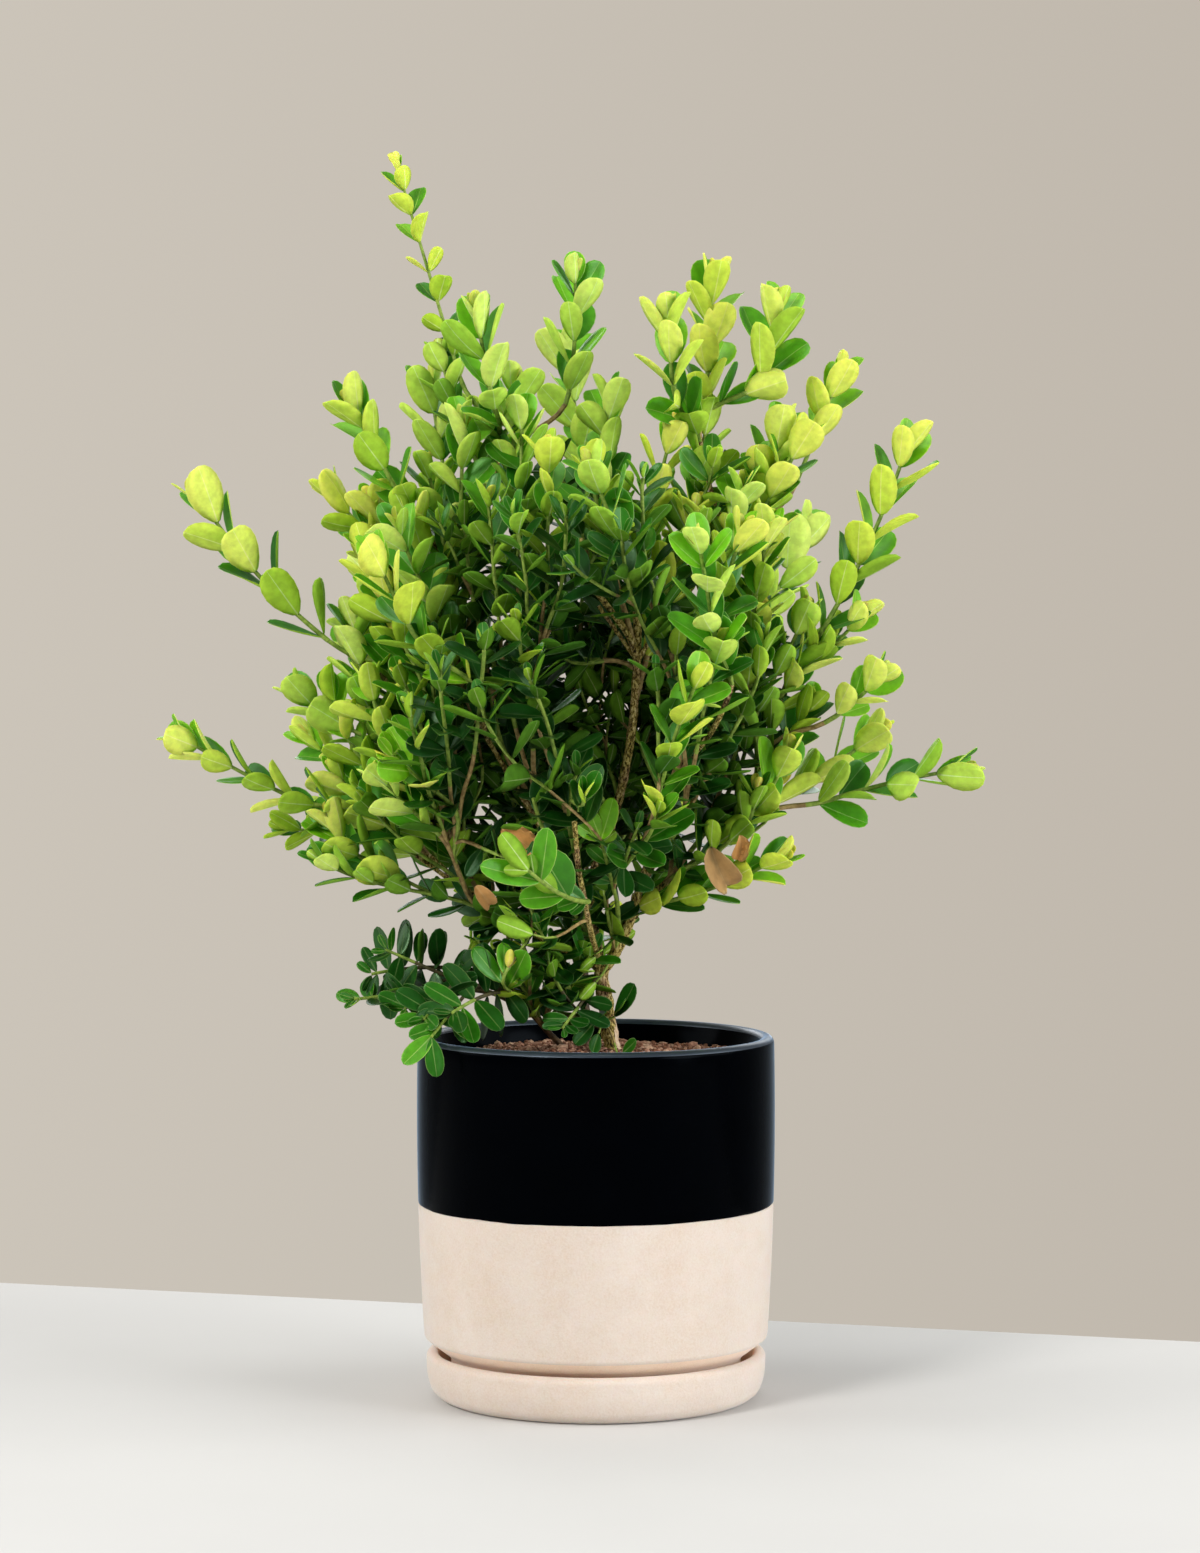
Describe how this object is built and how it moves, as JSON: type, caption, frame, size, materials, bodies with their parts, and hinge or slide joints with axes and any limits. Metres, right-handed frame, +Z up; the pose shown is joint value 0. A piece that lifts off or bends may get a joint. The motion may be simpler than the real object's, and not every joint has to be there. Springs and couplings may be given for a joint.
{
  "type": "potted boxwood shrub",
  "caption": "Small unclipped boxwood shrub with a fan of leafy shoots, in a two-tone clay pot, half dark glaze and half bare clay, standing on a matching saucer.",
  "frame": {"origin": "middle of the saucer's flat underside, where the potted plant stands", "axes": "+Z up, -Y towards the front that the picture shows, +X to the right as seen from the front"},
  "size_m": [0.318, 0.2244, 0.487],
  "materials": {
    "bare_clay": "matte",
    "dark_glaze": "satin",
    "potting_soil": "matte",
    "bark": "matte",
    "old_leaves": "satin",
    "leaves": "satin",
    "young_leaves": "satin"
  },
  "bodies": {
    "root": {"bough_back_left": "bark", "bough_back_low": "bark", "bough_back_right": "bark", "bough_centre": "bark", "bough_far_right": "bark", "bough_front": "bark", "bough_left": "bark", "bough_low_left": "bark", "bough_right": "bark", "bough_right_low": "bark", "foliage_back_left": "leaves", "foliage_back_low": "old_leaves", "foliage_back_right": "leaves", "foliage_front_low": "old_leaves", "foliage_left": "leaves", "foliage_left_front": "leaves", "foliage_left_low": "old_leaves", "foliage_right": "leaves", "foliage_right_front": "leaves", "foliage_right_low": "old_leaves", "foliage_top_left": "leaves", "foliage_top_right": "leaves", "foliage_upper_back": "leaves", "foliage_upper_front": "leaves", "foliage_upper_left": "leaves", "foliage_upper_right": "leaves", "pot": "dark_glaze", "saucer": "bare_clay", "shoot_back_left": "young_leaves", "shoot_back_low": "young_leaves", "shoot_back_right": "young_leaves", "shoot_back_top": "young_leaves", "shoot_droop_out": "young_leaves", "shoot_droop_rim": "young_leaves", "shoot_far_left": "young_leaves", "shoot_far_right": "young_leaves", "shoot_foot": "old_leaves", "shoot_front_low": "young_leaves", "shoot_front_right": "young_leaves", "shoot_left_arm": "young_leaves", "shoot_left_front": "young_leaves", "shoot_left_low": "young_leaves", "shoot_left_upper": "young_leaves", "shoot_right_low": "young_leaves", "shoot_right_middle": "young_leaves", "shoot_right_small": "young_leaves", "shoot_right_tall": "young_leaves", "shoot_right_upper": "young_leaves", "shoot_spire": "young_leaves", "shoot_top_left": "young_leaves", "shoot_top_middle": "young_leaves", "shoot_top_right_far": "young_leaves", "shoot_top_right_near": "young_leaves", "shoot_top_right_tall": "young_leaves", "soil": "potting_soil", "stem_back": "bark", "stem_skirt": "bark", "trunk": "bark"}
  },
  "joints": []
}
